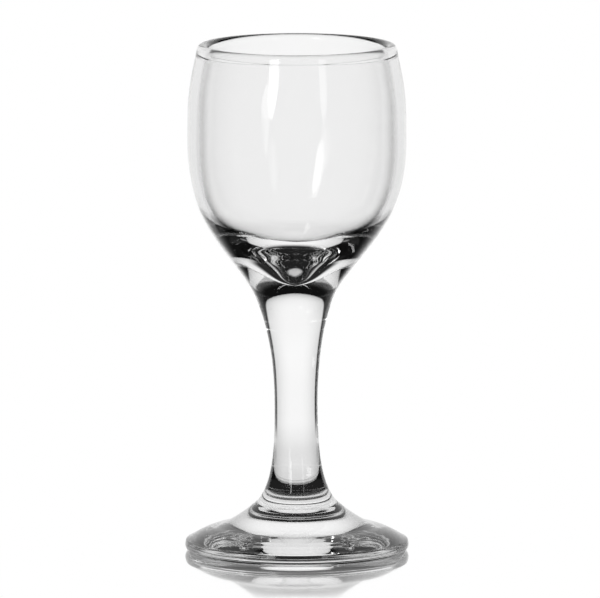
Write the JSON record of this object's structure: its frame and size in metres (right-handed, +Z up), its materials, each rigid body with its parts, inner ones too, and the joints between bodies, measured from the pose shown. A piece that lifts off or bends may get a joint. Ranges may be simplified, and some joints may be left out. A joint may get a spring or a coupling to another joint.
{
  "type": "stemmed liqueur glass",
  "caption": "Small clear stemmed glass with a rounded tapering bowl, a solid waisted stem and a round flared foot, for serving liqueur, cordial or port.",
  "frame": {"origin": "centre of the foot on the surface that the glass stands on", "axes": "+Z up along the glass's axis of revolution, towards the mouth; X and Y are level and alike"},
  "size_m": [0.047, 0.047, 0.107],
  "materials": {
    "foot_glass": "clear pressed soda-lime glass, fire-polished, with slight mould waviness",
    "stem_glass": "clear solid soda-lime glass, fire-polished, with slight lengthwise waviness",
    "bowl_glass": "clear blown soda-lime glass, smooth and glossy, with a fire-polished lip"
  },
  "bodies": {
    "root": {"foot": "foot_glass", "stem": "stem_glass", "bowl": "bowl_glass"}
  },
  "joints": []
}
